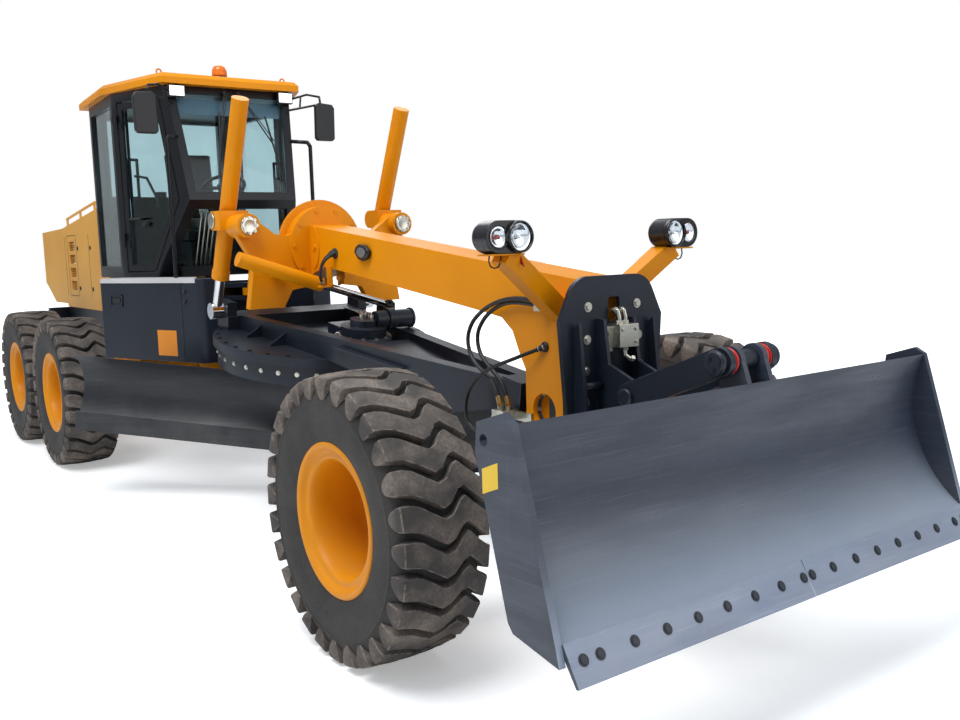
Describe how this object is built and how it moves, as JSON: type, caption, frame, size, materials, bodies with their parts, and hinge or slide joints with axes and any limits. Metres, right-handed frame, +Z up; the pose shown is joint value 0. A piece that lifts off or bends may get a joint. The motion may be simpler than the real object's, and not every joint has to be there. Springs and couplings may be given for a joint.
{
  "type": "articulated motor grader",
  "caption": "Articulated six-wheel motor grader with cab, drawbar, circle and blade, leaning front wheels and a front dozer blade.",
  "frame": {"origin": "ground level under the middle of the overall length, on the machine's middle line", "axes": "+X forward, +Y to the machine's left, +Z up"},
  "size_m": [10.134, 2.9124, 3.4709],
  "materials": {
    "yellow_paint": "gloss enamel",
    "pale_yellow_paint": "semi-gloss enamel",
    "rim_paint": "semi-gloss enamel",
    "dark_paint": "semi-gloss enamel",
    "blade_paint": "satin enamel, worn",
    "worn_steel": "worn, dull",
    "tyre_rubber": "dusty rubber",
    "rod_chrome": "polished",
    "cab_glass": "clear",
    "lamp_plastic": "gloss",
    "seat_cloth": "woven",
    "dark_plastic": "matt",
    "engine_grey": "satin",
    "plated_fittings": "plated",
    "hose_rubber": "matt rubber"
  },
  "bodies": {
    "chassis": {"rear_frame": "dark_paint", "engine_block": "engine_grey", "hood": "pale_yellow_paint", "rear_housing": "pale_yellow_paint", "rear_axle": "yellow_paint", "tandem_cases": "dark_paint", "side_tanks": "dark_paint", "cab_shell": "dark_paint", "cab_glass": "cab_glass", "cab_roof": "yellow_paint", "seat": "seat_cloth", "console": "dark_plastic", "roof_lamps": "lamp_plastic", "mirrors": "lamp_plastic"},
    "front_frame": {"front_frame": "yellow_paint", "ball_socket": "dark_paint", "saddle": "yellow_paint", "front_axle": "dark_paint", "dozer_mount": "dark_paint", "headlamps": "lamp_plastic", "valve_block": "plated_fittings", "hose_blocks": "plated_fittings", "hose_leg": "hose_rubber", "hose_lower": "hose_rubber", "hose_upper": "hose_rubber"},
    "door_left": {"door_left": "dark_paint", "door_glass_left": "cab_glass"},
    "door_right": {"door_right": "dark_paint", "door_glass_right": "cab_glass"},
    "yoke_left": {"lean_yoke_left": "dark_paint"},
    "yoke_right": {"lean_yoke_right": "dark_paint"},
    "lean_bar": {"lean_bar": "dark_paint"},
    "knuckle_left": {"knuckle_left": "dark_paint"},
    "knuckle_right": {"knuckle_right": "dark_paint"},
    "drawbar": {"drawbar": "dark_paint", "circle_drive": "dark_paint"},
    "circle": {"circle": "dark_paint"},
    "blade": {"moldboard": "blade_paint", "cutting_edge": "worn_steel"},
    "lift_tube_left": {"lift_tube_left": "yellow_paint"},
    "lift_tube_right": {"lift_tube_right": "yellow_paint"},
    "lift_rod_left": {"lift_rod_left": "rod_chrome"},
    "lift_rod_right": {"lift_rod_right": "rod_chrome"},
    "shift_tube": {"shift_tube": "yellow_paint"},
    "shift_rod": {"shift_rod": "rod_chrome"},
    "dozer_arms": {"dozer_arms": "dark_paint"},
    "dozer_link": {"dozer_link": "dark_paint"},
    "dozer_blade": {"dozer_blade": "blade_paint"},
    "wheel_front_left": {"tyre_front_left": "tyre_rubber", "rim_front_left": "rim_paint"},
    "wheel_front_right": {"tyre_front_right": "tyre_rubber", "rim_front_right": "rim_paint"},
    "wheel_middle_left": {"tyre_middle_left": "tyre_rubber", "rim_middle_left": "rim_paint"},
    "wheel_middle_right": {"tyre_middle_right": "tyre_rubber", "rim_middle_right": "rim_paint"},
    "wheel_rear_left": {"tyre_rear_left": "tyre_rubber", "rim_rear_left": "rim_paint"},
    "wheel_rear_right": {"tyre_rear_right": "tyre_rubber", "rim_rear_right": "rim_paint"}
  },
  "joints": [
    {"name": "articulation", "type": "hinge", "parent": "chassis", "child": "front_frame", "pos_m": [-0.327, 0, 1.2], "axis": [0, 0, -1], "range_deg": [-27, 27]},
    {"name": "door_left_hinge", "type": "hinge", "parent": "chassis", "child": "door_left", "pos_m": [-1.19379, 0.77113, 2.5], "axis": [0, 0, 1], "range_deg": [0, 80]},
    {"name": "door_right_hinge", "type": "hinge", "parent": "chassis", "child": "door_right", "pos_m": [-1.19379, -0.77113, 2.5], "axis": [0, 0, -1], "range_deg": [0, 80]},
    {"name": "lean_right", "type": "hinge", "parent": "front_frame", "child": "yoke_right", "pos_m": [3.413, -0.7, 0.6], "axis": [1, 0, 0], "range_deg": [-17, 17]},
    {"name": "lean_left", "type": "hinge", "parent": "front_frame", "child": "yoke_left", "pos_m": [3.413, 0.7, 0.6], "axis": [1, 0, 0], "range_deg": [-17, 17]},
    {"name": "lean_bar_slide", "type": "slide", "parent": "front_frame", "child": "lean_bar", "axis": [0, -1, 0], "range_m": [-0.06, 0.06]},
    {"name": "steer_right", "type": "hinge", "parent": "yoke_right", "child": "knuckle_right", "pos_m": [3.413, -0.84, 0.674], "axis": [0, 0, 1], "range_deg": [-50, 50]},
    {"name": "steer_left", "type": "hinge", "parent": "yoke_left", "child": "knuckle_left", "pos_m": [3.413, 0.84, 0.674], "axis": [0, 0, 1], "range_deg": [-50, 50]},
    {"name": "wheel_front_left_spin", "type": "hinge", "parent": "knuckle_left", "child": "wheel_front_left", "pos_m": [3.413, 1.078, 0.674], "axis": [0, 1, 0], "continuous": true},
    {"name": "wheel_front_right_spin", "type": "hinge", "parent": "knuckle_right", "child": "wheel_front_right", "pos_m": [3.413, -1.078, 0.674], "axis": [0, 1, 0], "continuous": true},
    {"name": "wheel_middle_left_spin", "type": "hinge", "parent": "chassis", "child": "wheel_middle_left", "pos_m": [-2.037, 1.078, 0.674], "axis": [0, 1, 0], "continuous": true},
    {"name": "wheel_middle_right_spin", "type": "hinge", "parent": "chassis", "child": "wheel_middle_right", "pos_m": [-2.037, -1.078, 0.674], "axis": [0, 1, 0], "continuous": true},
    {"name": "wheel_rear_left_spin", "type": "hinge", "parent": "chassis", "child": "wheel_rear_left", "pos_m": [-3.575, 1.078, 0.674], "axis": [0, 1, 0], "continuous": true},
    {"name": "wheel_rear_right_spin", "type": "hinge", "parent": "chassis", "child": "wheel_rear_right", "pos_m": [-3.575, -1.078, 0.674], "axis": [0, 1, 0], "continuous": true},
    {"name": "drawbar_lift", "type": "hinge", "parent": "front_frame", "child": "drawbar", "pos_m": [3.56333, 0, 1.05484], "axis": [0, -1, 0], "range_deg": [-2, 18.5]},
    {"name": "lift_tube_left_swing", "type": "hinge", "parent": "front_frame", "child": "lift_tube_left", "pos_m": [0.742, 0.622, 2.116], "axis": [0, -1, 0], "range_deg": [-5, 20]},
    {"name": "lift_rod_left_slide", "type": "slide", "parent": "lift_tube_left", "child": "lift_rod_left", "axis": [-0.4192, 0, -0.9079], "range_m": [-0.12, 1]},
    {"name": "lift_tube_right_swing", "type": "hinge", "parent": "front_frame", "child": "lift_tube_right", "pos_m": [0.742, -0.622, 2.116], "axis": [0, -1, 0], "range_deg": [-5, 20]},
    {"name": "lift_rod_right_slide", "type": "slide", "parent": "lift_tube_right", "child": "lift_rod_right", "axis": [-0.4192, 0, -0.9079], "range_m": [-0.12, 1]},
    {"name": "shift_tube_swing", "type": "hinge", "parent": "front_frame", "child": "shift_tube", "pos_m": [1.155, -0.4, 1.745], "axis": [-0.9974, 0, 0.072], "range_deg": [-5, 40]},
    {"name": "shift_rod_slide", "type": "slide", "parent": "shift_tube", "child": "shift_rod", "axis": [0.0273, 0.9487, -0.315], "range_m": [-0.06, 0.46]},
    {"name": "circle_turn", "type": "hinge", "parent": "drawbar", "child": "circle", "pos_m": [0.893, 0, 1.279], "axis": [0.1426, 0, 0.9898], "range_deg": [-5, 95]},
    {"name": "blade_shift", "type": "slide", "parent": "circle", "child": "blade", "axis": [0.7029, 0.704, -0.1013], "range_m": [-0.65, 0.65]},
    {"name": "dozer_lift", "type": "hinge", "parent": "front_frame", "child": "dozer_arms", "pos_m": [4.113, 0, 0.64], "axis": [0, 1, 0], "range_deg": [-18, 60]},
    {"name": "dozer_link_swing", "type": "hinge", "parent": "front_frame", "child": "dozer_link", "pos_m": [4.179, 0, 1.198], "axis": [0, 1, 0], "range_deg": [-18, 60]},
    {"name": "dozer_blade_level", "type": "hinge", "parent": "dozer_arms", "child": "dozer_blade", "pos_m": [4.637, 0, 0.84], "axis": [0, 1, 0], "range_deg": [-60, 18]}
  ],
  "couplings": [
    {"joint": "lean_left", "follows": "lean_right", "ratio": 1},
    {"joint": "lean_bar_slide", "follows": "lean_right", "m_per_rad": 0.19},
    {"joint": "steer_left", "follows": "steer_right", "ratio": 1},
    {"joint": "lift_tube_left_swing", "follows": "drawbar_lift", "ratio": 0.879},
    {"joint": "lift_rod_left_slide", "follows": "drawbar_lift", "m_per_rad": 3.0015},
    {"joint": "lift_tube_right_swing", "follows": "drawbar_lift", "ratio": 0.879},
    {"joint": "lift_rod_right_slide", "follows": "drawbar_lift", "m_per_rad": 3.0015},
    {"joint": "shift_tube_swing", "follows": "drawbar_lift", "ratio": 1.968},
    {"joint": "shift_rod_slide", "follows": "drawbar_lift", "m_per_rad": 1.3479},
    {"joint": "dozer_link_swing", "follows": "dozer_lift", "ratio": 1},
    {"joint": "dozer_blade_level", "follows": "dozer_lift", "ratio": -1}
  ]
}
